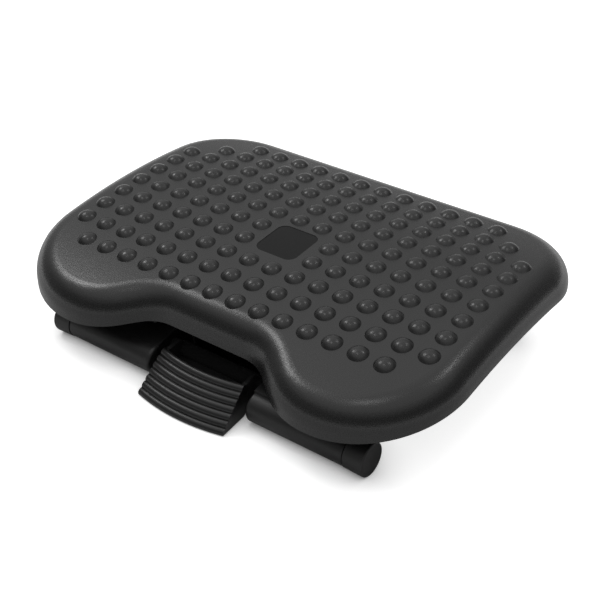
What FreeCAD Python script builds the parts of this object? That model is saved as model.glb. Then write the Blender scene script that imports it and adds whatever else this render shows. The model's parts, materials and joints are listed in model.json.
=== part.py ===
# Tilting under-desk footrest: a bumped platform hinged near its front edge on a moulded base,
# held at its angle by a friction brake that a front pedal releases.
# Millimetres. X runs to the user's right, Y away from the user, Z up from the floor.
import FreeCAD, Part
import math
import os

V = FreeCAD.Vector
X_AXIS = V(1, 0, 0)
Z_AXIS = V(0, 0, 1)

# Platform outline in plan, as the corners of a polygon and the radius that rounds each one
PLATFORM_FRONT_HALF_WIDTH = 227.5
PLATFORM_BACK_HALF_WIDTH = 227.0
PLATFORM_FRONT_Y = -162.6
PLATFORM_BACK_Y = 169.75
ARCH_Y = -124.2
ARCH_HALF_WIDTH = 57.0
ARCH_FLANK_RUN = 47.0
ARCH_CORNER_RADIUS = 42.0
LOBE_INNER_RADIUS = 76.0
LOBE_INNER_RUN = 29.36
BACK_CORNER_RADIUS = 82.0

# Platform section: a tray bent about a crown line along X
CROWN_TOP_Z = 102.5
CROWN_Y = 41.4
CROWN_RADIUS = 749.0
SHOULDER_RADIUS = 26.0
SKIRT_STRAIGHT = 1.0
SKIN = 3.0
RIB_THICKNESS = 2.4
RIB_HEIGHT = 12.0
LONG_RIB_XS = (36.0, 66.0, 120.0, 160.0)
CROSS_RIB_YS = (-70.0, -14.0, 34.0, 80.0, 126.0)

# Bumps: a square grid of spherical domes with cut corners and a gap for the badge
BUMP_ROW_SPANS = (14, 16, 16, 16, 16, 16, 16, 16, 14, 12)
BUMP_SIDE_MARGIN = 36.25
BUMP_FRONT_MARGIN = 63.9
BUMP_BACK_MARGIN = 38.95
BUMP_DIAMETER = 18.6
BUMP_HEIGHT = 4.6
BUMP_ROOT = 1.2
BUMP_SEAM_TURN = 37.0

# Badge: a plain rounded plate let into the top skin
BADGE_X = 0.0
BADGE_Y = -8.0
BADGE_WIDTH = 44.0
BADGE_LENGTH = 46.0
BADGE_CORNER_RADIUS = 9.0
BADGE_THICKNESS = 1.4
BADGE_GAP = 0.25
BADGE_SINK = 0.3

# Base bars: one across the front, one across the back, alike in section
BAR_RADIUS = 14.5
BAR_WALL = 3.0
BAR_END_X = 155.3
FRONT_BAR_Y = -127.5
REAR_BAR_Y = 112.0
SLOT_HALF_WIDTH = 55.0
SLOT_END_ROUND = 3.5

# End caps, which are also the feet
CAP_GAP = 1.0
CAP_LENGTH = 19.7
CAP_SEAM_RADIUS = 14.9
CAP_END_RADIUS = 15.6
CAP_EDGE_ROUND = 1.6
CAP_FLAT = 0.4
CAP_SPIGOT_LENGTH = 14.0
CAP_SPIGOT_CLEARANCE = 0.1

# Base housing: sloped deck, level top, fall to the rear bar
DECK_SLOPE = 12.0
DECK_LEVEL_START_Y = -60.0
DECK_LEVEL_END_Y = -4.0
HOUSING_HALF_WIDTH = 58.0
HOUSING_WALL = 3.0
HOUSING_FRONT_LIP_Y = -97.0
WING_OUTER_DEPTH = 14.0
DECK_OPENING_HALF_WIDTH = 13.0
DECK_OPENING_FRONT_Y = -46.0
DECK_OPENING_BACK_Y = -4.0
WING_ROOT_BACK_Y = -56.0
HOUSING_REAR_DROP = 9.0
COVER_THICKNESS = 3.0
COVER_GAP = 0.3
COVER_SCREW_INSET = 9.0
COVER_SCREW_YS = (-84.0, 4.0, 88.0)
BAR_SCREW_X = 40.0

# Platform hinge
PIVOT_Y = -96.0
PIVOT_Z = 52.0
PIVOT_ROD_RADIUS = 4.0
HINGE_X = 91.0
LUG_WIDTH = 14.0
LUG_RADIUS = 9.5
EAR_WIDTH = 6.0
EAR_RADIUS = 9.0
EAR_FOOT_LENGTH = 22.0
BUSH_WALL = 1.5
BUSH_FLANGE = 1.2
BUSH_FLANGE_WALL = 3.4
RUNNING_CLEARANCE = 0.06
SIDE_CLEARANCE = 0.4
ROD_OVERHANG = 6.0
BRACKET_PLATE_Z = 76.0
BRACKET_PLATE = 3.0
BRACKET_LENGTH = 38.0
BRACKET_WIDTH = 40.0
BRACKET_SCREW_DX = 14.0
BRACKET_SCREW_DY = 13.0
LUG_ROOT_LENGTH = 30.0

# Lock: an arc fixed under the platform and a brake lever that presses on it
ARC_OUTER_RADIUS = 70.0
ARC_BAND = 14.0
ARC_HALF_WIDTH = 5.0
ARC_END_ANGLE = -38.0
ARC_TOP_ANGLE = 35.0
ARC_FLANGE_Z = 84.0
ARC_FLANGE = 4.0
ARC_FLANGE_FRONT_Y = -64.0
ARC_FLANGE_BACK_Y = -20.0
ARC_FLANGE_HALF_WIDTH = 17.0
ARC_SCREW_X = 12.0
ARC_SCREW_INSET = 6.0
PAD_TOP_ANGLE = -7.0
PAD_BOTTOM_ANGLE = -18.0
PAD_THICKNESS = 3.0
PAD_GAP = 0.3
PAD_HALF_WIDTH = 8.0
SHOE_BACKING = 5.0

# Pedal and its linkage
PEDAL_PIVOT_Y = -108.0
PEDAL_PIVOT_Z = 22.0
PEDAL_TOP_HALF_WIDTH = 46.0
PEDAL_TOE_HALF_WIDTH = 49.0
PEDAL_TOP_Y = -128.4
PEDAL_TOP_Z = 32.8
PEDAL_TOE_Y = -163.3
PEDAL_TOE_Z = 1.0
PEDAL_HEEL_Y = -132.0
PEDAL_PLAN_RADIUS = 190.0
PEDAL_BOW = 0.8
PEDAL_RIBS = 7
PEDAL_RIB_DEPTH = 1.6
PEDAL_TREAD = 3.0
PEDAL_CHEEK = 4.0
PEDAL_CHEEK_BACK = 15.0
PEDAL_CHEEK_RISE = 0.8
PEDAL_WEB_SHARE = 0.7
PEDAL_HUB_RADIUS = 7.0
PEDAL_SPACER_RADIUS = 6.0
LINK_ARM = 14.0
LINK_X = 12.0
LINK_THICKNESS = 4.0
LINK_HEIGHT = 7.0
LINK_PIN_RADIUS = 2.0
ARM_THICKNESS = 5.0
ARM_GAP = 1.0
ARM_END_RADIUS = 3.8
LINK_PIN_HEAD_RADIUS = 3.6
LINK_PIN_HEAD = 1.5
BRAKE_PIVOT_Y = -12.0
BRAKE_HUB_RADIUS = 7.0
BRAKE_HUB_HALF_LENGTH = 18.0
SHAFT_RADIUS = 3.0
WEB_X = 20.0
WEB_THICKNESS = 3.0
WEB_REACH = 12.0

# Return spring behind the brake lever
SPRING_RADIUS = 4.6
SPRING_WIRE_RADIUS = 0.6
SPRING_TURNS = 7
SPRING_Z = 33.0
SPRING_LENGTH = 19.0
SPRING_SEAT_OFFSET = 4.0
SPRING_SEAT_RADIUS = 5.6
SPRING_SPIGOT_RADIUS = 3.6
SPRING_SPIGOT_LENGTH = 3.0
SPRING_END_GAP = 0.25

# Rest stops at the back
STOP_X = 96.0
TOWER_RADIUS = 9.0
TOWER_FOOT_RADIUS = 12.0
TOWER_TOP_Z = 64.0
STOP_RADIUS = 8.0
STOP_HEIGHT = 5.0
STOP_STEM_RADIUS = 3.0
STOP_STEM_LENGTH = 8.0
STOP_GAP = 0.3

# Small fasteners
SCREW_RADIUS = 1.6
SCREW_HEAD_RADIUS = 3.2
SCREW_HEAD = 1.4
SCREW_LENGTH = 7.5
BOSS_RADIUS = 4.2
CLIP_THICKNESS = 1.0
CLIP_WALL = 2.2
SHAFT_CHAMFER = 0.5

# Worked-out places
PLATFORM_LENGTH = PLATFORM_BACK_Y - PLATFORM_FRONT_Y
SIDE_TAPER = math.atan2(PLATFORM_FRONT_HALF_WIDTH - PLATFORM_BACK_HALF_WIDTH, PLATFORM_LENGTH)
LOBE_OUTER_RUN = PLATFORM_FRONT_HALF_WIDTH - ARCH_HALF_WIDTH - ARCH_FLANK_RUN - LOBE_INNER_RUN
LOBE_OUTER_RADIUS = LOBE_OUTER_RUN * math.tan(math.pi / 4 - SIDE_TAPER / 2)
SKIRT_DEPTH = SHOULDER_RADIUS + SKIRT_STRAIGHT
BUMP_FRONT_ROW_Y = PLATFORM_FRONT_Y + BUMP_FRONT_MARGIN
BUMP_PITCH_X = 2 * (PLATFORM_FRONT_HALF_WIDTH - BUMP_SIDE_MARGIN) / (max(BUMP_ROW_SPANS) - 1)
BUMP_PITCH_Y = (PLATFORM_BACK_Y - BUMP_BACK_MARGIN - BUMP_FRONT_ROW_Y) / (len(BUMP_ROW_SPANS) - 1)
CROWN_Z = CROWN_TOP_Z - CROWN_RADIUS
BAR_Z = CAP_END_RADIUS - CAP_FLAT
BASE_BOTTOM_Z = BAR_Z - BAR_RADIUS
COVER_TOP_Z = BASE_BOTTOM_Z + COVER_THICKNESS
DECK_START_Y = FRONT_BAR_Y - BAR_RADIUS * math.sin(math.radians(DECK_SLOPE))
DECK_START_Z = BAR_Z + BAR_RADIUS * math.cos(math.radians(DECK_SLOPE))
COVER_SCREW_X = HOUSING_HALF_WIDTH - COVER_SCREW_INSET
DECK_LEVEL_Z = DECK_START_Z + (DECK_LEVEL_START_Y - DECK_START_Y) * math.tan(math.radians(DECK_SLOPE))
HOUSING_BACK_Y = REAR_BAR_Y + BAR_RADIUS + HOUSING_WALL
SADDLE_TOP_Z = BAR_Z + BAR_RADIUS + HOUSING_WALL
WING_INNER_X = HOUSING_HALF_WIDTH + HOUSING_WALL / 2
EAR_GAP = LUG_WIDTH / 2 + BUSH_FLANGE + SIDE_CLEARANCE
PIVOT_BORE_RADIUS = PIVOT_ROD_RADIUS + RUNNING_CLEARANCE
BUSH_RADIUS = PIVOT_BORE_RADIUS + BUSH_WALL
SHAFT_BORE_RADIUS = SHAFT_RADIUS + RUNNING_CLEARANCE
LINK_BORE_RADIUS = LINK_PIN_RADIUS + RUNNING_CLEARANCE
LINK_Z = PEDAL_PIVOT_Z - LINK_ARM
PAD_FACE_RADIUS = ARC_OUTER_RADIUS + PAD_GAP
SHOE_RADIUS = PAD_FACE_RADIUS + PAD_THICKNESS
SHOE_BACK_RADIUS = SHOE_RADIUS + SHOE_BACKING
SPRING_FRONT_Y = BRAKE_PIVOT_Y + SPRING_SEAT_OFFSET
SPRING_WALL_Y = SPRING_FRONT_Y + SPRING_LENGTH
STOP_TOP_Z = TOWER_TOP_Z + STOP_HEIGHT
PEDAL_AXIS_Y = PEDAL_TOE_Y + math.sqrt(PEDAL_PLAN_RADIUS ** 2 - PEDAL_TOE_HALF_WIDTH ** 2)
PEDAL_TAPER = (PEDAL_TOE_HALF_WIDTH - PEDAL_TOP_HALF_WIDTH) / (PEDAL_TOE_Y - PEDAL_TOP_Y)
ARM_X = LINK_X - LINK_THICKNESS / 2 - ARM_GAP - ARM_THICKNESS
FAR = 400.0


def polygon(points):
    return Part.Face(Part.makePolygon(points + [points[0]]))


def prism_x(points, x0, x1):
    """Solid between two X planes whose section is a list of (y, z) points."""
    face = polygon([V(x0, y, z) for y, z in points])
    return face.extrude(V(x1 - x0, 0, 0))


def rod_x(radius, y, z, x0, x1):
    return Part.makeCylinder(radius, x1 - x0, V(x0, y, z), X_AXIS)


def post(radius, x, y, z0, z1):
    return Part.makeCylinder(radius, z1 - z0, V(x, y, z0), Z_AXIS)


def block(x0, x1, y0, y1, z0, z1):
    return Part.makeBox(x1 - x0, y1 - y0, z1 - z0, V(x0, y0, z0))


def mirrored(shape):
    return shape.mirror(V(0, 0, 0), X_AXIS)


def both_sides(shape):
    return [shape, mirrored(shape)]


def joined(shapes):
    return shapes[0].fuse(shapes[1:]).removeSplitter() if len(shapes) > 1 else shapes[0]


def rounded_wire(corners, z):
    """Closed wire in plan: each corner is (x, y, radius)."""
    edges = []
    last_end = None
    first_start = None
    count = len(corners)
    for index in range(count):
        x, y, radius = corners[index]
        before = corners[index - 1]
        after = corners[(index + 1) % count]
        here = V(x, y, z)
        to_before = (V(before[0], before[1], z) - here).normalize()
        to_after = (V(after[0], after[1], z) - here).normalize()
        half = to_before.getAngle(to_after) / 2
        reach = radius / math.tan(half)
        start = here + to_before * reach
        end = here + to_after * reach
        inward = (to_before + to_after).normalize()
        middle = here + inward * (radius / math.sin(half) - radius)
        if last_end is not None:
            edges.append(Part.LineSegment(last_end, start).toShape())
        else:
            first_start = start
        edges.append(Part.Arc(start, middle, end).toShape())
        last_end = end
    edges.append(Part.LineSegment(last_end, first_start).toShape())
    return Part.Wire(edges)


def platform_corners():
    flank_x = ARCH_HALF_WIDTH + ARCH_FLANK_RUN
    right = [
        (ARCH_HALF_WIDTH, ARCH_Y, ARCH_CORNER_RADIUS),
        (flank_x, PLATFORM_FRONT_Y, LOBE_INNER_RADIUS),
        (PLATFORM_FRONT_HALF_WIDTH, PLATFORM_FRONT_Y, LOBE_OUTER_RADIUS),
        (PLATFORM_BACK_HALF_WIDTH, PLATFORM_BACK_Y, BACK_CORNER_RADIUS),
    ]
    left = [(-x, y, radius) for x, y, radius in reversed(right)]
    return right + left


def crown_solid(depth):
    """Everything below the crown surface sunk by depth."""
    return rod_x(CROWN_RADIUS - depth, CROWN_Y, CROWN_Z, -FAR, FAR)


def crown_height(y, depth=0.0):
    return CROWN_Z + math.sqrt((CROWN_RADIUS - depth) ** 2 - (y - CROWN_Y) ** 2)


def outline_prism(inset):
    wire = rounded_wire(platform_corners(), 0)
    if inset:
        wire = wire.makeOffset2D(-inset)
    return Part.Face(wire).extrude(V(0, 0, FAR))


def rounded_crown(inset, radius, floor):
    """The tray's outside, or its inside when inset, with the top edge rounded."""
    prism = outline_prism(inset)
    solid = prism.common(crown_solid(inset)).cut(floor)
    top_edges = []
    for edge in solid.Edges:
        box = edge.BoundBox
        middle = edge.valueAt((edge.FirstParameter + edge.LastParameter) / 2)
        on_top = abs(middle.z - crown_height(middle.y, inset)) < 0.01
        if on_top and box.DiagonalLength > 1:
            top_edges.append(edge)
    return solid.makeFillet(radius, top_edges)


def bump_places():
    places = []
    for row, span in enumerate(BUMP_ROW_SPANS):
        y = BUMP_FRONT_ROW_Y + row * BUMP_PITCH_Y
        for column in range(span):
            x = (column - (span - 1) / 2) * BUMP_PITCH_X
            beside_badge = abs(x - BADGE_X) < (BADGE_WIDTH + BUMP_DIAMETER) / 2
            along_badge = abs(y - BADGE_Y) < (BADGE_LENGTH + BUMP_DIAMETER) / 2
            if not (beside_badge and along_badge):
                places.append((x, y))
    return places


def bump(x, y):
    half = BUMP_DIAMETER / 2
    sphere_radius = (half ** 2 + BUMP_HEIGHT ** 2) / (2 * BUMP_HEIGHT)
    sink = sphere_radius - BUMP_HEIGHT
    outward = V(0, y - CROWN_Y, crown_height(y) - CROWN_Z).normalize()
    centre = V(x, y, crown_height(y)) - outward * sink
    latitude = math.degrees(math.asin((sink - BUMP_ROOT) / sphere_radius))
    dome = Part.makeSphere(sphere_radius, centre, outward, latitude, 90, 360)
    dome.rotate(centre, outward, BUMP_SEAM_TURN)
    return dome


def platform_cavity():
    return rounded_crown(SKIN, SHOULDER_RADIUS - SKIN, crown_solid(SKIRT_DEPTH + FAR / 10))


def screw(x, y, z, direction):
    """Screw whose head rests on height z and whose shank points along Z by direction."""
    axis = V(0, 0, direction)
    shank = Part.makeCylinder(SCREW_RADIUS, SCREW_LENGTH, V(x, y, z), axis)
    head = Part.makeCylinder(SCREW_HEAD_RADIUS, SCREW_HEAD, V(x, y, z), -axis)
    return head.fuse(shank).removeSplitter()


def pilot(x, y, z, direction):
    """The hole that a screw's shank passes into."""
    radius = SCREW_RADIUS + RUNNING_CLEARANCE
    return Part.makeCylinder(radius, SCREW_LENGTH + RUNNING_CLEARANCE, V(x, y, z), V(0, 0, direction))


def bracket_screw_places():
    places = []
    for side in (-1, 1):
        for dx in (-BRACKET_SCREW_DX, BRACKET_SCREW_DX):
            for dy in (-BRACKET_SCREW_DY, BRACKET_SCREW_DY):
                places.append((side * HINGE_X + dx, PIVOT_Y + dy))
    return places


def arc_screw_places():
    ys = (ARC_FLANGE_FRONT_Y + ARC_SCREW_INSET, ARC_FLANGE_BACK_Y - ARC_SCREW_INSET)
    return [(x, y) for x in (-ARC_SCREW_X, ARC_SCREW_X) for y in ys]


def cover_screw_places():
    return [(x, y) for x in (-COVER_SCREW_X, COVER_SCREW_X) for y in COVER_SCREW_YS]


def badge_prism(gap):
    half_x = BADGE_WIDTH / 2 - gap
    half_y = BADGE_LENGTH / 2 - gap
    radius = BADGE_CORNER_RADIUS - gap
    signs = ((1, -1), (1, 1), (-1, 1), (-1, -1))
    corners = [(BADGE_X + sx * half_x, BADGE_Y + sy * half_y, radius) for sx, sy in signs]
    return Part.Face(rounded_wire(corners, 0)).extrude(V(0, 0, FAR))


def platform_shell():
    outside = rounded_crown(0.0, SHOULDER_RADIUS, crown_solid(SKIRT_DEPTH))
    outside = outside.fuse([bump(x, y) for x, y in bump_places()])
    cavity = platform_cavity()
    half = RIB_THICKNESS / 2
    stiffeners = []
    for rib_x in LONG_RIB_XS:
        for x in (-rib_x, rib_x):
            stiffeners.append(block(x - half, x + half, -FAR, FAR, 0, FAR))
    for y in CROSS_RIB_YS:
        stiffeners.append(block(-FAR, FAR, y - half, y + half, 0, FAR))
    ribs = stiffeners[0].fuse(stiffeners[1:]).common(cavity).cut(crown_solid(SKIN + RIB_HEIGHT))
    bosses = [post(BOSS_RADIUS, x, y, BRACKET_PLATE_Z + BRACKET_PLATE, FAR)
              for x, y in bracket_screw_places()]
    bosses += [post(BOSS_RADIUS, x, y, ARC_FLANGE_Z + ARC_FLANGE, FAR) for x, y in arc_screw_places()]
    bosses += [post(STOP_RADIUS, x, REAR_BAR_Y, STOP_TOP_Z + STOP_GAP, FAR) for x in (-STOP_X, STOP_X)]
    inside = ribs.fuse([boss.common(cavity) for boss in bosses])
    shell = outside.cut(cavity.cut(inside))
    pocket = badge_prism(0.0).common(crown_solid(-BADGE_THICKNESS)).cut(crown_solid(BADGE_THICKNESS))
    holes = [pilot(x, y, BRACKET_PLATE_Z, 1) for x, y in bracket_screw_places()]
    holes += [pilot(x, y, ARC_FLANGE_Z, 1) for x, y in arc_screw_places()]
    return shell.cut([pocket] + holes)


def badge_inlay():
    return badge_prism(BADGE_GAP).common(crown_solid(BADGE_SINK)).cut(crown_solid(BADGE_THICKNESS))


def hinge_bracket():
    half_width = BRACKET_WIDTH / 2
    half_length = BRACKET_LENGTH / 2
    plate = block(HINGE_X - half_width, HINGE_X + half_width, PIVOT_Y - half_length,
                  PIVOT_Y + half_length, BRACKET_PLATE_Z, BRACKET_PLATE_Z + BRACKET_PLATE)
    x0 = HINGE_X - LUG_WIDTH / 2
    x1 = HINGE_X + LUG_WIDTH / 2
    root = LUG_ROOT_LENGTH / 2
    lug = prism_x([(PIVOT_Y - root, BRACKET_PLATE_Z), (PIVOT_Y + root, BRACKET_PLATE_Z),
                   (PIVOT_Y + LUG_RADIUS, PIVOT_Z), (PIVOT_Y - LUG_RADIUS, PIVOT_Z)], x0, x1)
    barrel = rod_x(LUG_RADIUS, PIVOT_Y, PIVOT_Z, x0, x1)
    bore = rod_x(BUSH_RADIUS + RUNNING_CLEARANCE, PIVOT_Y, PIVOT_Z, x0, x1)
    holes = [pilot(x, y, BRACKET_PLATE_Z, 1) for x, y in bracket_screw_places() if x > 0]
    return joined([plate, lug, barrel]).cut([bore] + holes)


def hinge_bush(x_face, direction):
    """Flanged bush pushed into a lug from the face at x_face."""
    axis = V(direction, 0, 0)
    seat = V(x_face, PIVOT_Y, PIVOT_Z)
    sleeve = Part.makeCylinder(BUSH_RADIUS, LUG_WIDTH / 2 - RUNNING_CLEARANCE, seat, -axis)
    flange = Part.makeCylinder(PIVOT_BORE_RADIUS + BUSH_FLANGE_WALL, BUSH_FLANGE, seat, axis)
    bore = rod_x(PIVOT_BORE_RADIUS, PIVOT_Y, PIVOT_Z, x_face - LUG_WIDTH, x_face + LUG_WIDTH)
    return sleeve.fuse(flange).cut(bore).removeSplitter()


def hinge_bushes():
    half = LUG_WIDTH / 2
    right = [hinge_bush(HINGE_X + half, 1), hinge_bush(HINGE_X - half, -1)]
    return right + [mirrored(bush) for bush in right]


def clip(y, z, shaft_radius, x0):
    ring = rod_x(shaft_radius + CLIP_WALL, y, z, x0, x0 + CLIP_THICKNESS)
    return ring.cut(rod_x(shaft_radius + RUNNING_CLEARANCE, y, z, x0, x0 + CLIP_THICKNESS))


def shaft(radius, y, z, seat_x):
    """Shaft that runs past a seat at each side by the overhang, and its pair of clips."""
    end_x = seat_x + ROD_OVERHANG
    bar = rod_x(radius, y, z, -end_x, end_x)
    bar = bar.makeChamfer(SHAFT_CHAMFER, [e for e in bar.Edges if e.BoundBox.XLength < 0.01])
    clips = both_sides(clip(y, z, radius, seat_x + SIDE_CLEARANCE))
    return bar, clips


def arc_point(radius, angle):
    turn = math.radians(angle)
    return PIVOT_Y + radius * math.cos(turn), PIVOT_Z + radius * math.sin(turn)


def arc_sector(inner, outer, low, high, half_width):
    """Curved band about the pivot between two radii and two angles."""
    ring = rod_x(outer, PIVOT_Y, PIVOT_Z, -half_width, half_width)
    ring = ring.cut(rod_x(inner, PIVOT_Y, PIVOT_Z, -half_width, half_width))
    reach = 2 * outer
    corners = [(PIVOT_Y, PIVOT_Z), arc_point(reach, low), arc_point(reach, high)]
    wedge = prism_x(corners, -half_width, half_width)
    return ring.common(wedge)


def lock_arc():
    inner = ARC_OUTER_RADIUS - ARC_BAND
    band = arc_sector(inner, ARC_OUTER_RADIUS, ARC_END_ANGLE, ARC_TOP_ANGLE, ARC_HALF_WIDTH)
    flange_top = ARC_FLANGE_Z + ARC_FLANGE
    band = band.cut(block(-FAR, FAR, -FAR, FAR, flange_top, FAR))
    flange = block(-ARC_FLANGE_HALF_WIDTH, ARC_FLANGE_HALF_WIDTH, ARC_FLANGE_FRONT_Y, ARC_FLANGE_BACK_Y,
                   ARC_FLANGE_Z, flange_top)
    holes = [pilot(x, y, ARC_FLANGE_Z, 1) for x, y in arc_screw_places()]
    return joined([band, flange]).cut(holes)


def deck_points(depth):
    """Top line of the housing from the nose to the back, sunk by depth."""
    return [
        (DECK_START_Y, DECK_START_Z - depth),
        (DECK_LEVEL_START_Y, DECK_LEVEL_Z - depth),
        (DECK_LEVEL_END_Y, DECK_LEVEL_Z - depth),
        (REAR_BAR_Y, SADDLE_TOP_Z - depth),
        (HOUSING_BACK_Y, SADDLE_TOP_Z - HOUSING_REAR_DROP - depth),
    ]


def deck_height(y):
    return DECK_START_Z + (y - DECK_START_Y) * math.tan(math.radians(DECK_SLOPE))


def under_deck(depth, x0, x1):
    """Everything from the base's bottom up to the deck line sunk by depth."""
    bottom = [(HOUSING_BACK_Y, BASE_BOTTOM_Z), (DECK_START_Y, BASE_BOTTOM_Z)]
    return prism_x(deck_points(depth) + bottom, x0, x1)


def front_nose():
    """Right half of the front bar, closed and rounded at the pedal slot."""
    nose = rod_x(BAR_RADIUS, FRONT_BAR_Y, BAR_Z, SLOT_HALF_WIDTH, BAR_END_X)
    rim = [edge for edge in nose.Edges if edge.BoundBox.XMax < SLOT_HALF_WIDTH + 0.01]
    return nose.makeFillet(SLOT_END_ROUND, rim)


def front_bore():
    start = SLOT_HALF_WIDTH + SLOT_END_ROUND + HOUSING_WALL
    return rod_x(BAR_RADIUS - BAR_WALL, FRONT_BAR_Y, BAR_Z, start, BAR_END_X)


def wing_wire(inset):
    root_x = WING_INNER_X - HOUSING_WALL
    corners = [
        V(root_x, FRONT_BAR_Y, BASE_BOTTOM_Z),
        V(BAR_END_X, FRONT_BAR_Y, BASE_BOTTOM_Z),
        V(BAR_END_X, FRONT_BAR_Y + WING_OUTER_DEPTH, BASE_BOTTOM_Z),
        V(root_x, WING_ROOT_BACK_Y, BASE_BOTTOM_Z),
    ]
    wire = Part.makePolygon(corners + [corners[0]])
    return wire.makeOffset2D(-inset) if inset else wire


def wing():
    """Sloped fairing between the front bar and the housing's side, open below."""
    outside = Part.Face(wing_wire(0.0)).extrude(V(0, 0, FAR)).common(under_deck(0.0, 0, FAR))
    inside = Part.Face(wing_wire(HOUSING_WALL)).extrude(V(0, 0, FAR))
    inside = inside.common(under_deck(HOUSING_WALL, 0, FAR))
    return outside.cut(inside)


def hinge_ear(x0):
    x1 = x0 + EAR_WIDTH
    half_foot = EAR_FOOT_LENGTH / 2
    foot_z = deck_height(PIVOT_Y - half_foot) - HOUSING_WALL / 2
    leg = prism_x([(PIVOT_Y - half_foot, foot_z), (PIVOT_Y + half_foot, foot_z),
                   (PIVOT_Y + EAR_RADIUS, PIVOT_Z), (PIVOT_Y - EAR_RADIUS, PIVOT_Z)], x0, x1)
    return leg.fuse(rod_x(EAR_RADIUS, PIVOT_Y, PIVOT_Z, x0, x1))


def housing_side():
    """Right side wall, from the front bar to the back of the rear bar."""
    x0 = HOUSING_HALF_WIDTH - HOUSING_WALL
    wall = under_deck(0.0, x0, HOUSING_HALF_WIDTH)
    return wall.cut(block(x0 - 1, HOUSING_HALF_WIDTH + 1, -FAR, FRONT_BAR_Y, -FAR, FAR))


def base_housing():
    inner = HOUSING_HALF_WIDTH - HOUSING_WALL
    centre = under_deck(0.0, -HOUSING_HALF_WIDTH, HOUSING_HALF_WIDTH)
    centre = centre.cut(block(-FAR, FAR, -FAR, HOUSING_FRONT_LIP_Y, -FAR, FAR))
    hollow_back = block(-inner, inner, -FAR, HOUSING_BACK_Y - HOUSING_WALL, -FAR, FAR)
    hollow = under_deck(HOUSING_WALL, -inner, inner).common(hollow_back)
    right = [
        front_nose(),
        wing(),
        housing_side(),
        hinge_ear(HINGE_X + EAR_GAP),
        hinge_ear(HINGE_X - EAR_GAP - EAR_WIDTH),
    ]
    web = block(WEB_X, WEB_X + WEB_THICKNESS, BRAKE_PIVOT_Y - WEB_REACH, SPRING_WALL_Y + WEB_THICKNESS,
                COVER_TOP_Z + COVER_GAP, FAR)
    spring_wall = block(-WEB_X, WEB_X, SPRING_WALL_Y, SPRING_WALL_Y + WEB_THICKNESS,
                        PEDAL_PIVOT_Z, FAR)
    bosses = [post(BOSS_RADIUS, x, y, COVER_TOP_Z, FAR) for x, y in cover_screw_places()]
    fill = under_deck(0.0, -HOUSING_HALF_WIDTH, HOUSING_HALF_WIDTH)
    inserts = [piece.common(fill) for piece in both_sides(web) + [spring_wall] + bosses]
    shapes = [centre.cut(hollow)] + right + [mirrored(piece) for piece in right] + inserts
    housing = joined(shapes)
    opening = block(-DECK_OPENING_HALF_WIDTH, DECK_OPENING_HALF_WIDTH, DECK_OPENING_FRONT_Y,
                    DECK_OPENING_BACK_Y, DECK_LEVEL_Z - HOUSING_WALL - 1, FAR)
    cuts = both_sides(front_bore()) + [opening]
    cuts.append(rod_x(BAR_RADIUS + RUNNING_CLEARANCE, REAR_BAR_Y, BAR_Z, -FAR, FAR))
    cuts.append(rod_x(PIVOT_BORE_RADIUS, PIVOT_Y, PIVOT_Z, -FAR, FAR))
    cuts.append(rod_x(SHAFT_BORE_RADIUS, PEDAL_PIVOT_Y, PEDAL_PIVOT_Z, -WING_INNER_X, WING_INNER_X))
    brake_bore_end = WEB_X + WEB_THICKNESS
    cuts.append(rod_x(SHAFT_BORE_RADIUS, BRAKE_PIVOT_Y, PEDAL_PIVOT_Z, -brake_bore_end, brake_bore_end))
    cuts += [pilot(x, y, BASE_BOTTOM_Z + SCREW_HEAD, 1) for x, y in cover_screw_places()]
    for x in (-BAR_SCREW_X, BAR_SCREW_X):
        cuts.append(pilot(x, REAR_BAR_Y, SADDLE_TOP_Z, -1))
        cuts.append(post(SCREW_HEAD_RADIUS + COVER_GAP, x, REAR_BAR_Y, SADDLE_TOP_Z, FAR))
    return housing.cut(cuts)


def base_cover():
    half = HOUSING_HALF_WIDTH - HOUSING_WALL - COVER_GAP
    back = REAR_BAR_Y - BAR_RADIUS - COVER_GAP
    plate = block(-half, half, HOUSING_FRONT_LIP_Y, back, BASE_BOTTOM_Z, COVER_TOP_Z)
    counterbores = [post(SCREW_HEAD_RADIUS + COVER_GAP, x, y, 0, BASE_BOTTOM_Z + SCREW_HEAD)
                    for x, y in cover_screw_places()]
    holes = [pilot(x, y, BASE_BOTTOM_Z + SCREW_HEAD, 1) for x, y in cover_screw_places()]
    return plate.cut(counterbores + holes)


def rear_bar():
    tube = rod_x(BAR_RADIUS, REAR_BAR_Y, BAR_Z, -BAR_END_X, BAR_END_X)
    towers = []
    for x in (-STOP_X, STOP_X):
        towers.append(Part.makeCone(TOWER_FOOT_RADIUS, TOWER_RADIUS, TOWER_TOP_Z - BAR_Z,
                                    V(x, REAR_BAR_Y, BAR_Z), Z_AXIS))
    cuts = [rod_x(BAR_RADIUS - BAR_WALL, REAR_BAR_Y, BAR_Z, -BAR_END_X, BAR_END_X)]
    stem_bottom = TOWER_TOP_Z - STOP_STEM_LENGTH - COVER_GAP
    cuts += [post(STOP_STEM_RADIUS + RUNNING_CLEARANCE, x, REAR_BAR_Y, stem_bottom, TOWER_TOP_Z)
             for x in (-STOP_X, STOP_X)]
    cuts += [pilot(x, REAR_BAR_Y, SADDLE_TOP_Z, -1) for x in (-BAR_SCREW_X, BAR_SCREW_X)]
    return joined([tube] + towers).cut(cuts)


def stop_buffer(x):
    stem = post(STOP_STEM_RADIUS, x, REAR_BAR_Y, TOWER_TOP_Z - STOP_STEM_LENGTH, TOWER_TOP_Z)
    button = post(STOP_RADIUS, x, REAR_BAR_Y, TOWER_TOP_Z, STOP_TOP_Z)
    return stem.fuse(button).removeSplitter()


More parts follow.
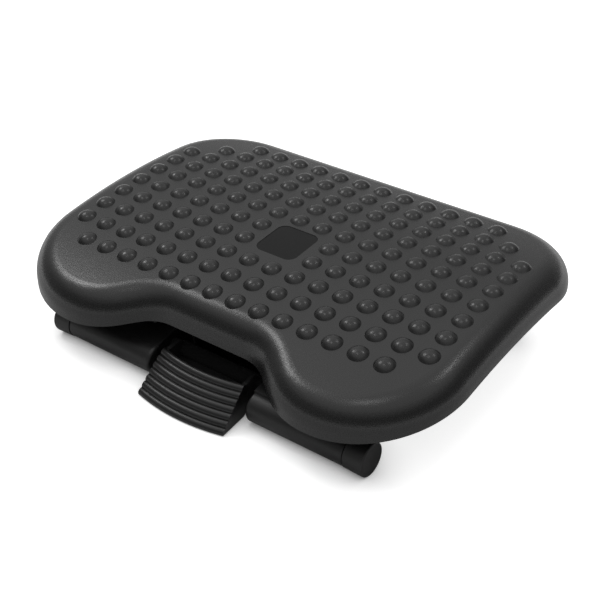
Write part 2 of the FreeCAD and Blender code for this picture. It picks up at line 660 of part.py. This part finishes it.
def end_cap(bar_y):
    """Right end cap: a plug in the bar and a flared foot with a flat underneath."""
    seam_x = BAR_END_X + CAP_GAP
    end_x = seam_x + CAP_LENGTH
    foot = Part.makeCone(CAP_SEAM_RADIUS, CAP_END_RADIUS, CAP_LENGTH, V(seam_x, bar_y, BAR_Z), X_AXIS)
    rim = [edge for edge in foot.Edges if edge.BoundBox.XMin > end_x - 0.01]
    foot = foot.makeFillet(CAP_EDGE_ROUND, rim)
    plug_radius = BAR_RADIUS - BAR_WALL - CAP_SPIGOT_CLEARANCE
    plug = rod_x(plug_radius, bar_y, BAR_Z, BAR_END_X - CAP_SPIGOT_LENGTH, seam_x)
    return joined([foot, plug]).cut(block(-FAR, FAR, -FAR, FAR, -FAR, 0))


def pedal_half_width(y):
    return PEDAL_TOP_HALF_WIDTH + PEDAL_TAPER * (y - PEDAL_TOP_Y)


def pedal_plan(inset):
    """Everything inside the pedal's tapered sides, less an inset."""
    corners = []
    front_y = PEDAL_PIVOT_Y - FAR / 4
    back_y = PEDAL_PIVOT_Y + FAR / 4
    for side, y in ((-1, front_y), (1, front_y), (1, back_y), (-1, back_y)):
        corners.append(V(side * (pedal_half_width(y) - inset), y, -FAR))
    return polygon(corners).extrude(V(0, 0, 2 * FAR))


def tread_point(share, rise=0.0):
    """Point in the middle plane a share of the way down the bowed tread, lifted by rise."""
    top = V(0, PEDAL_AXIS_Y - math.hypot(PEDAL_AXIS_Y - PEDAL_TOP_Y, PEDAL_TOP_HALF_WIDTH), PEDAL_TOP_Z)
    toe = V(0, PEDAL_AXIS_Y - PEDAL_PLAN_RADIUS, PEDAL_TOE_Z)
    along = toe - top
    outward = V(0, along.z, -along.y).normalize()
    bow = 4 * PEDAL_BOW * share * (1 - share)
    return top + along * share + outward * (bow + rise)


def turned(section, inner_y):
    """Section in the middle plane swept about the tread's vertical axis, cut to the pedal's sides."""
    half_turn = math.degrees(math.asin(PEDAL_TOE_HALF_WIDTH / (PEDAL_AXIS_Y - inner_y)))
    axis_point = V(0, PEDAL_AXIS_Y, 0)
    section.rotate(axis_point, Z_AXIS, -half_turn)
    return section.revolve(axis_point, Z_AXIS, 2 * half_turn).common(pedal_plan(0.0))


def pedal_tread():
    """Tread with rounded ribs across it."""
    edges = []
    for rib in range(PEDAL_RIBS):
        upper = tread_point(rib / PEDAL_RIBS)
        crest = tread_point((rib + 0.5) / PEDAL_RIBS, PEDAL_RIB_DEPTH)
        lower = tread_point((rib + 1) / PEDAL_RIBS)
        edges.append(Part.Arc(upper, crest, lower).toShape())
    toe = tread_point(1.0)
    top = tread_point(0.0)
    back = [toe, toe + V(0, PEDAL_TREAD * math.sqrt(2), 0), tread_point(0.5, -PEDAL_TREAD),
            tread_point(0.0, -PEDAL_TREAD), top]
    edges += Part.makePolygon(back).Edges
    return turned(Part.Face(Part.Wire(edges)), top.y)


def pedal_web():
    """Low plate inside the pedal, from the tread back to the hub."""
    start = tread_point(PEDAL_WEB_SHARE, -PEDAL_TREAD / 2)
    end = V(0, PEDAL_PIVOT_Y - PEDAL_HUB_RADIUS / 2, PEDAL_PIVOT_Z - PEDAL_HUB_RADIUS / 2)
    thick = V(0, 0, PEDAL_TREAD)
    return turned(polygon([start, end, end - thick, start - thick]), end.y)


def hanging_arm(y, x0, x1):
    """Arm from a shaft down to the link's pin."""
    plate = block(x0, x1, y - ARM_END_RADIUS, y + ARM_END_RADIUS, LINK_Z, PEDAL_PIVOT_Z)
    return plate.fuse(rod_x(ARM_END_RADIUS, y, LINK_Z, x0, x1))


def pedal():
    inset = PEDAL_TREAD / 2
    cheeks = prism_x([
        (PEDAL_TOE_Y + inset, PEDAL_TOE_Z),
        (PEDAL_TOP_Y + inset / 2, PEDAL_TOP_Z - inset),
        (PEDAL_TOP_Y + PEDAL_CHEEK_BACK, PEDAL_TOP_Z + PEDAL_CHEEK_RISE),
        (PEDAL_PIVOT_Y + PEDAL_HUB_RADIUS, PEDAL_PIVOT_Z),
        (PEDAL_PIVOT_Y, PEDAL_PIVOT_Z - PEDAL_HUB_RADIUS),
        (PEDAL_HEEL_Y, PEDAL_TOE_Z),
    ], -HOUSING_HALF_WIDTH, HOUSING_HALF_WIDTH)
    cheeks = cheeks.common(pedal_plan(0.0)).cut(pedal_plan(PEDAL_CHEEK))
    hub_end = HOUSING_HALF_WIDTH - HOUSING_WALL - SIDE_CLEARANCE
    hub = rod_x(PEDAL_HUB_RADIUS, PEDAL_PIVOT_Y, PEDAL_PIVOT_Z, -hub_end, hub_end).common(pedal_plan(0.0))
    spacer = rod_x(PEDAL_SPACER_RADIUS, PEDAL_PIVOT_Y, PEDAL_PIVOT_Z, -hub_end, hub_end)
    arm = hanging_arm(PEDAL_PIVOT_Y, ARM_X, ARM_X + ARM_THICKNESS)
    shapes = [pedal_tread(), pedal_web(), hub, spacer, arm] + cheeks.Solids
    bores = [
        rod_x(SHAFT_BORE_RADIUS, PEDAL_PIVOT_Y, PEDAL_PIVOT_Z, -hub_end, hub_end),
        rod_x(LINK_BORE_RADIUS, PEDAL_PIVOT_Y, LINK_Z, ARM_X, ARM_X + ARM_THICKNESS),
    ]
    return joined(shapes).cut(bores)


def release_link():
    x0 = LINK_X - LINK_THICKNESS / 2
    x1 = LINK_X + LINK_THICKNESS / 2
    half = LINK_HEIGHT / 2
    bar = block(x0, x1, PEDAL_PIVOT_Y, BRAKE_PIVOT_Y, LINK_Z - half, LINK_Z + half)
    ends = [rod_x(half, y, LINK_Z, x0, x1) for y in (PEDAL_PIVOT_Y, BRAKE_PIVOT_Y)]
    bores = [rod_x(LINK_BORE_RADIUS, y, LINK_Z, x0, x1) for y in (PEDAL_PIVOT_Y, BRAKE_PIVOT_Y)]
    return joined([bar] + ends).cut(bores)


def link_pin(y):
    head_x = LINK_X + LINK_THICKNESS / 2 + SIDE_CLEARANCE
    stem = rod_x(LINK_PIN_RADIUS, y, LINK_Z, ARM_X, head_x)
    head = rod_x(LINK_PIN_HEAD_RADIUS, y, LINK_Z, head_x, head_x + LINK_PIN_HEAD)
    return joined([stem, head])


def brake_lever():
    shoe = arc_sector(SHOE_RADIUS, SHOE_BACK_RADIUS, PAD_BOTTOM_ANGLE, PAD_TOP_ANGLE, PAD_HALF_WIDTH)
    neck_radius = SHOE_RADIUS + SHOE_BACKING / 2
    neck = prism_x([
        (BRAKE_PIVOT_Y - BRAKE_HUB_RADIUS, PEDAL_PIVOT_Z),
        (BRAKE_PIVOT_Y + BRAKE_HUB_RADIUS, PEDAL_PIVOT_Z),
        (SPRING_FRONT_Y - SPRING_SPIGOT_LENGTH, SPRING_Z + SPRING_SEAT_RADIUS),
        arc_point(neck_radius, PAD_TOP_ANGLE),
        arc_point(neck_radius, PAD_BOTTOM_ANGLE),
    ], -PAD_HALF_WIDTH, PAD_HALF_WIDTH)
    hub_end = BRAKE_HUB_HALF_LENGTH
    hub = rod_x(BRAKE_HUB_RADIUS, BRAKE_PIVOT_Y, PEDAL_PIVOT_Z, -hub_end, hub_end)
    arm = hanging_arm(BRAKE_PIVOT_Y, ARM_X, ARM_X + ARM_THICKNESS)
    back = V(0, 1, 0)
    spring_end = V(0, SPRING_FRONT_Y, SPRING_Z)
    seat = Part.makeCylinder(SPRING_SEAT_RADIUS, SPRING_SEAT_RADIUS, spring_end, -back)
    spigot = Part.makeCylinder(SPRING_SPIGOT_RADIUS, SPRING_SPIGOT_LENGTH, spring_end, back)
    bores = [
        rod_x(SHAFT_BORE_RADIUS, BRAKE_PIVOT_Y, PEDAL_PIVOT_Z, -hub_end, hub_end),
        rod_x(LINK_BORE_RADIUS, BRAKE_PIVOT_Y, LINK_Z, ARM_X, ARM_X + ARM_THICKNESS),
    ]
    return joined([shoe, neck, hub, arm, seat, spigot]).cut(bores)


def brake_pad():
    return arc_sector(PAD_FACE_RADIUS, SHOE_RADIUS, PAD_BOTTOM_ANGLE, PAD_TOP_ANGLE, PAD_HALF_WIDTH)


def brake_spring():
    """Compression spring along Y between the lever's seat and the spring wall."""
    pitch = (SPRING_LENGTH - 2 * SPRING_WIRE_RADIUS - 2 * SPRING_END_GAP) / SPRING_TURNS
    path = Part.makeHelix(pitch, pitch * SPRING_TURNS, SPRING_RADIUS)
    wire = Part.Wire(path.Edges)
    start = V(SPRING_RADIUS, 0, 0)
    ring = Part.Wire(Part.Circle(start, V(0, 1, 0), SPRING_WIRE_RADIUS).toShape())
    coil = wire.makePipeShell([ring], True, True)
    coil.rotate(V(0, 0, 0), X_AXIS, -90)
    coil.translate(V(0, SPRING_FRONT_Y + SPRING_WIRE_RADIUS + SPRING_END_GAP, SPRING_Z))
    return coil


def parts():
    pivot_rod, pivot_clips = shaft(PIVOT_ROD_RADIUS, PIVOT_Y, PIVOT_Z, HINGE_X + EAR_GAP + EAR_WIDTH)
    pedal_pin, pedal_clips = shaft(SHAFT_RADIUS, PEDAL_PIVOT_Y, PEDAL_PIVOT_Z, WING_INNER_X)
    brake_pin, brake_clips = shaft(SHAFT_RADIUS, BRAKE_PIVOT_Y, PEDAL_PIVOT_Z, WEB_X + WEB_THICKNESS)
    right_bracket = hinge_bracket()
    front_cap = end_cap(FRONT_BAR_Y)
    rear_cap = end_cap(REAR_BAR_Y)
    return {
        "platform_shell": [platform_shell()],
        "badge_inlay": [badge_inlay()],
        "hinge_bracket_right": [right_bracket],
        "hinge_bracket_left": [mirrored(right_bracket)],
        "hinge_bushes": hinge_bushes(),
        "bracket_screws": [screw(x, y, BRACKET_PLATE_Z, 1) for x, y in bracket_screw_places()],
        "lock_arc": [lock_arc()],
        "lock_arc_screws": [screw(x, y, ARC_FLANGE_Z, 1) for x, y in arc_screw_places()],
        "base_housing": [base_housing()],
        "base_cover": [base_cover()],
        "cover_screws": [screw(x, y, BASE_BOTTOM_Z + SCREW_HEAD, 1) for x, y in cover_screw_places()],
        "rear_bar": [rear_bar()],
        "rear_bar_screws": [screw(x, REAR_BAR_Y, SADDLE_TOP_Z, -1) for x in (-BAR_SCREW_X, BAR_SCREW_X)],
        "end_cap_front_right": [front_cap],
        "end_cap_front_left": [mirrored(front_cap)],
        "end_cap_rear_right": [rear_cap],
        "end_cap_rear_left": [mirrored(rear_cap)],
        "stop_buffers": [stop_buffer(x) for x in (-STOP_X, STOP_X)],
        "pivot_rod": [pivot_rod],
        "pivot_rod_clips": pivot_clips,
        "pedal": [pedal()],
        "pedal_pin": [pedal_pin],
        "pedal_pin_clips": pedal_clips,
        "release_link": [release_link()],
        "link_pin_front": [link_pin(PEDAL_PIVOT_Y)],
        "link_pin_rear": [link_pin(BRAKE_PIVOT_Y)],
        "brake_lever": [brake_lever()],
        "brake_pad": [brake_pad()],
        "brake_pin": [brake_pin],
        "brake_pin_clips": brake_clips,
        "brake_spring": [brake_spring()],
    }


def main():
    os.makedirs("parts", exist_ok=True)
    for name, solids in parts().items():
        shape = solids[0] if len(solids) == 1 else Part.makeCompound(solids)
        box = shape.BoundBox
        print(name, len(shape.Solids), shape.isValid(), round(shape.Volume),
              [round(value, 1) for value in (box.XMin, box.XMax, box.YMin, box.YMax, box.ZMin, box.ZMax)])
        shape.exportStep(os.path.join("parts", name + ".step"))


main()
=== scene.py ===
"""Looks of the tilting under-desk footrest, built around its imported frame. Metres, Z up."""
import json

import bpy
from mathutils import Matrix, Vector

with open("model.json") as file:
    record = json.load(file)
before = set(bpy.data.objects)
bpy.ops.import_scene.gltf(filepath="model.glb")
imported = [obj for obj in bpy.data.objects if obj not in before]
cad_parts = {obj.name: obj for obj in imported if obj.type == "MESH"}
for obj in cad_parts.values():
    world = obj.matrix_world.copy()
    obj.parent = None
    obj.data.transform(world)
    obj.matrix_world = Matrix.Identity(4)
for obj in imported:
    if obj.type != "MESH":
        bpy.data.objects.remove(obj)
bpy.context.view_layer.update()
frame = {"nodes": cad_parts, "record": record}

MM = 0.001

# Camera: the photograph's viewpoint, direction and lens
CAMERA_PLACE = Vector((0.5593, -0.7383, 0.6410))
CAMERA_FORWARD = Vector((-0.5001, 0.6703, -0.5483))
LENS_MM = 70.3
SENSOR_MM = 36.0
CLIP_END = 30.0

# World: strength of its sides and its ceiling, and the heights of the direction between which one becomes the other
SIDES = 0.13
CEILING = 0.88
CEILING_LOW = 0.45
CEILING_HIGH = 0.86
# Soft bright patches of the world: direction, strength, falloff
LOBES = (
    ((-0.79, 0.37, 0.50), 0.33, 6.0),
    ((-0.45, 0.88, 0.10), 0.35, 4.0),
)
# How much of the white background glossy rays see
GLOSSY_SHARE = 0.05

# Lamps far away, aimed at the object: direction, edge length, watts
LAMP_DISTANCE = 3.5
LAMPS = {
    "key_left": ((-0.640, 0.03, 0.768), 0.80, 16.0),
    "key_right": ((0.264, 0.407, 0.875), 0.40, 5.0),
    "key_top": ((-0.08, -0.19, 0.98), 0.60, 5.0),
}

# Floor: a glow that only the camera sees, which fades within the contact reach of the object and so paints a
# contact shadow there, and a sweep that only reflections see, which brightens from its start to its end
FLOOR_SIZE = 40.0
FLOOR_GREY = 0.80
FLOOR_ROUGHNESS = 0.9
FLOOR_SPECULAR = 0.1
FLOOR_GLOW = 0.80
CONTACT_REACH = 0.035
SWEEP_GLOW = 0.90
SWEEP_START = 0.45
SWEEP_END = 1.60

# Part of a noise's range that is stretched over the full swing of a colour or roughness
NOISE_BAND = (0.3, 0.7)
SPECK_BAND = (0.35, 0.65)
METAL_BAND = (0.35, 0.7)

# Moulded plastic: shares of the grain's size and depth, the shade of specks, and mottling
CELLS_PER_GRAIN = 0.8
CELL_DEPTH_SHARE = 0.7
SPECK_SHADE = 0.86
MOTTLE_SCALE = 9.0
MOTTLING = 0.18

# Painted shade on the pedal's hollow behind its tread, darker colour and full roughness there: the share of the
# colour it keeps, and the Y where it begins and is full
HOLLOW_PAINTED_SHADE = 0.15
PEDAL_PAINTED_SHADE_Y = (-0.1270, -0.1245)


class Graph:
    """Adds nodes to the tree of a material or a world, and links them."""

    def __init__(self, owner, shader="Principled BSDF"):
        owner.use_nodes = True
        self.owner = owner
        self.tree = owner.node_tree
        self.shader = self.tree.nodes[shader]

    def add(self, kind, inputs=None, **settings):
        node = self.tree.nodes.new(kind)
        for key, value in settings.items():
            setattr(node, key, value)
        for key, value in (inputs or {}).items():
            self.put(node.inputs[key], value)
        return node

    def put(self, socket, value):
        if isinstance(value, bpy.types.NodeSocket):
            self.tree.links.new(value, socket)
        else:
            socket.default_value = value

    def set(self, **inputs):
        for key, value in inputs.items():
            self.put(self.shader.inputs[key.replace("_", " ")], value)

    def position(self):
        return self.add("ShaderNodeTexCoord").outputs["Object"]

    def noise(self, scale, detail=2.0, roughness=0.5, vector=None):
        inputs = {"Vector": vector or self.position(), "Scale": scale, "Detail": detail, "Roughness": roughness}
        return self.add("ShaderNodeTexNoise", inputs).outputs["Fac"]

    def spread(self, value, low, high, from_low=0.0, from_high=1.0, **settings):
        inputs = {"Value": value, "From Min": from_low, "From Max": from_high, "To Min": low, "To Max": high}
        return self.add("ShaderNodeMapRange", inputs, **settings).outputs["Result"]

    def mix(self, factor, first, second):
        return self.add("ShaderNodeMix", {0: factor, 6: first, 7: second}, data_type="RGBA").outputs[2]

    def calc(self, operation, first, second):
        return self.add("ShaderNodeMath", {0: first, 1: second}, operation=operation).outputs[0]

    def bump(self, height, distance, normal=None):
        inputs = {"Height": height, "Distance": distance}
        if normal is not None:
            inputs["Normal"] = normal
        return self.add("ShaderNodeBump", inputs).outputs["Normal"]


def grey(value, warm=0.0):
    return (value * (1 + warm), value, value * (1 - warm), 1.0)


def tinted(colour, shade=1.0):
    return tuple(shade * channel for channel in colour) + (1.0,)


def moulded_plastic(name, level, roughness, grain_mm, grain_depth_mm, specular=0.5, painted_shade_band=None):
    """Black moulding: spark-eroded grain, faint flow mottling, and painted shade (darker colour, full roughness)
    over a range of Y.
    """
    g = Graph(bpy.data.materials.new(name))
    place = g.position()
    grain = g.noise(1 / (grain_mm * MM), 3.0, 0.6, place)
    cells = g.add("ShaderNodeTexVoronoi", {"Vector": place, "Scale": CELLS_PER_GRAIN / (grain_mm * MM)})
    cloud = g.spread(g.noise(MOTTLE_SCALE, 4.0, 0.55, place), 0.0, 1.0, *NOISE_BAND)
    colour = g.mix(cloud, grey(level * (1 - MOTTLING)), grey(level * (1 + MOTTLING)))
    colour = g.mix(g.spread(grain, 0.0, 1.0, *SPECK_BAND), grey(level * SPECK_SHADE), colour)
    gloss = g.spread(grain, roughness - 0.06, roughness + 0.07, *NOISE_BAND)
    # Painted shade: past the band in Y the colour is darkened and the roughness made full, standing in for the
    # shadow in the pedal's hollow
    if painted_shade_band is not None:
        painted_shade_mask = g.spread(g.add("ShaderNodeSeparateXYZ", {"Vector": place}).outputs["Y"], 0.0, 1.0, *painted_shade_band)
        colour = g.mix(painted_shade_mask, colour, grey(level * HOLLOW_PAINTED_SHADE))
        gloss = g.calc("MAXIMUM", gloss, painted_shade_mask)
    relief = g.bump(grain, grain_depth_mm * MM)
    relief = g.bump(cells.outputs["Distance"], grain_depth_mm * CELL_DEPTH_SHARE * MM, relief)
    g.set(Base_Color=colour, Roughness=gloss, Normal=relief, Specular_IOR_Level=specular)
    return g.owner


def rubber(name, level, roughness):
    """Dark rubber with fine pores and a slightly cloudy bloom."""
    g = Graph(bpy.data.materials.new(name))
    place = g.position()
    pores = g.noise(1 / (0.8 * MM), vector=place)
    cloud = g.noise(30.0, 3.0, 0.6, place)
    colour = g.mix(g.spread(cloud, 0.0, 1.0, *NOISE_BAND), grey(level * 0.85, 0.01), grey(level * 1.25, 0.01))
    g.set(Base_Color=colour, Roughness=g.spread(cloud, roughness - 0.05, roughness + 0.08, *NOISE_BAND),
          Normal=g.bump(pores, 0.02 * MM))
    return g.owner


def metal(name, colour, roughness, streak_axis, streak_mm):
    """Plated steel or cast metal with fine drawn lines along one axis."""
    g = Graph(bpy.data.materials.new(name))
    stretch = [1.0, 1.0, 1.0]
    stretch[streak_axis] = 0.02
    drawn = g.add("ShaderNodeMapping", {"Vector": g.position(), "Scale": stretch}).outputs["Vector"]
    streaks = g.noise(1 / (streak_mm * MM), vector=drawn)
    cloud = g.noise(60.0, 3.0, 0.6)
    tint = g.mix(g.spread(cloud, 0.0, 1.0, *METAL_BAND), tinted(colour, 0.8), tinted(colour))
    g.set(Base_Color=tint, Roughness=g.spread(streaks, roughness - 0.08, roughness + 0.1, *NOISE_BAND),
          Normal=g.bump(streaks, 0.01 * MM), Metallic=1.0)
    return g.owner


def nylon(name, colour):
    """Natural nylon of the bushes, faintly cloudy."""
    g = Graph(bpy.data.materials.new(name))
    cloud = g.noise(120.0, 3.0)
    g.set(Base_Color=g.mix(cloud, tinted(colour, 0.85), tinted(colour)), Roughness=g.spread(cloud, 0.38, 0.52),
          Normal=g.bump(g.noise(900.0), 0.01 * MM))
    return g.owner


# Maker and settings of each material slot of the record
FINISHES = {
    "platform_plastic": (moulded_plastic, dict(level=0.0095, roughness=0.28, grain_mm=1.1, grain_depth_mm=0.045)),
    "badge_plastic": (moulded_plastic, dict(level=0.004, roughness=0.34, grain_mm=0.3, grain_depth_mm=0.008,
                                            specular=0.16)),
    "base_plastic": (moulded_plastic, dict(level=0.009, roughness=0.42, grain_mm=0.45, grain_depth_mm=0.02)),
    # The pedal carries painted shade over its hollow behind the tread
    "pedal_plastic": (moulded_plastic, dict(level=0.009, roughness=0.34, grain_mm=0.4, grain_depth_mm=0.012,
                                            painted_shade_band=PEDAL_PAINTED_SHADE_Y)),
    "inner_plastic": (moulded_plastic, dict(level=0.014, roughness=0.5, grain_mm=0.6, grain_depth_mm=0.02)),
    "bush_plastic": (nylon, dict(colour=(0.55, 0.53, 0.47))),
    "cap_rubber": (rubber, dict(level=0.016, roughness=0.5)),
    "pad_rubber": (rubber, dict(level=0.06, roughness=0.7)),
    "steel": (metal, dict(colour=(0.60, 0.61, 0.63), roughness=0.3, streak_axis=0, streak_mm=0.25)),
    "arc_metal": (metal, dict(colour=(0.56, 0.57, 0.58), roughness=0.42, streak_axis=1, streak_mm=0.5)),
}


def dress_nodes():
    finishes = {slot: make(slot, **settings) for slot, (make, settings) in FINISHES.items()}
    for row in frame["record"]["subparts"]:
        materials = frame["nodes"][row["node"]].data.materials
        materials.clear()
        materials.append(finishes[row["material_slot"]])


def lamp(name, direction, size, power):
    data = bpy.data.lights.new(name, "AREA")
    data.size = size
    data.energy = power
    light = bpy.data.objects.new(name, data)
    light.location = LAMP_DISTANCE * Vector(direction).normalized()
    light.rotation_euler = (-light.location).to_track_quat("-Z", "Y").to_euler()
    bpy.context.scene.collection.objects.link(light)


def surroundings():
    """World: ceiling, sides and soft patches for light, and white for what the camera sees directly."""
    world = bpy.data.worlds.new("studio")
    bpy.context.scene.world = world
    g = Graph(world, "Background")
    direction = g.add("ShaderNodeTexCoord").outputs["Generated"]
    height = g.add("ShaderNodeSeparateXYZ", {"Vector": direction}).outputs["Z"]
    glow = g.spread(height, SIDES, CEILING, CEILING_LOW, CEILING_HIGH, interpolation_type="SMOOTHSTEP")
    for centre, strength, falloff in LOBES:
        pair = {0: direction, 1: Vector(centre).normalized()}
        facing = g.add("ShaderNodeVectorMath", pair, operation="DOT_PRODUCT").outputs["Value"]
        lobe = g.calc("POWER", g.calc("MAXIMUM", facing, 0.0), falloff)
        glow = g.calc("ADD", glow, g.calc("MULTIPLY", lobe, strength))
    path = g.add("ShaderNodeLightPath").outputs
    seen = g.calc("MAXIMUM", path["Is Camera Ray"], path["Is Transmission Ray"])
    seen = g.calc("MAXIMUM", seen, g.calc("MULTIPLY", path["Is Glossy Ray"], GLOSSY_SHARE))
    strength = g.add("ShaderNodeMix", {0: seen, 2: glow, 3: 1.0}).outputs[0]
    g.set(Color=grey(1.0), Strength=strength)


def studio_floor():
    """Pale floor that shows white and holds the shadow; far off it brightens like a lit sweep."""
    bpy.ops.mesh.primitive_plane_add(size=FLOOR_SIZE)
    floor = bpy.context.object
    floor.name = "studio_floor"
    g = Graph(bpy.data.materials.new("studio_floor"))
    g.set(Base_Color=grey(FLOOR_GREY), Roughness=FLOOR_ROUGHNESS, Specular_IOR_Level=FLOOR_SPECULAR)
    path = g.add("ShaderNodeLightPath").outputs
    seen = g.calc("MAXIMUM", path["Is Camera Ray"], path["Is Transmission Ray"])
    open_air = g.add("ShaderNodeAmbientOcclusion", {"Distance": CONTACT_REACH}).outputs["AO"]
    # The glow is multiplied by occlusion: a painted contact shadow beside the object
    near = g.calc("MULTIPLY", g.calc("MULTIPLY", seen, open_air), FLOOR_GLOW)
    distance = g.add("ShaderNodeVectorMath", {0: g.position()}, operation="LENGTH").outputs["Value"]
    far = g.calc("MULTIPLY", path["Is Glossy Ray"], g.spread(distance, 0.0, SWEEP_GLOW, SWEEP_START, SWEEP_END))
    glow = g.add("ShaderNodeEmission", {"Color": grey(1.0), "Strength": g.calc("ADD", near, far)})
    total = g.add("ShaderNodeAddShader", {0: g.shader.outputs[0], 1: glow.outputs[0]})
    g.put(g.tree.nodes["Material Output"].inputs["Surface"], total.outputs[0])
    floor.data.materials.append(g.owner)


def studio():
    bpy.context.scene.view_settings.view_transform = "Standard"
    surroundings()
    studio_floor()
    for name, (direction, size, power) in LAMPS.items():
        lamp(name, direction, size, power)


def photo_camera():
    data = bpy.data.cameras.new("photo_camera")
    data.lens = LENS_MM
    data.sensor_width = SENSOR_MM
    data.clip_end = CLIP_END
    camera = bpy.data.objects.new("photo_camera", data)
    camera.location = CAMERA_PLACE
    camera.rotation_euler = CAMERA_FORWARD.to_track_quat("-Z", "Y").to_euler()
    bpy.context.scene.collection.objects.link(camera)
    bpy.context.scene.camera = camera


dress_nodes()
studio()
photo_camera()
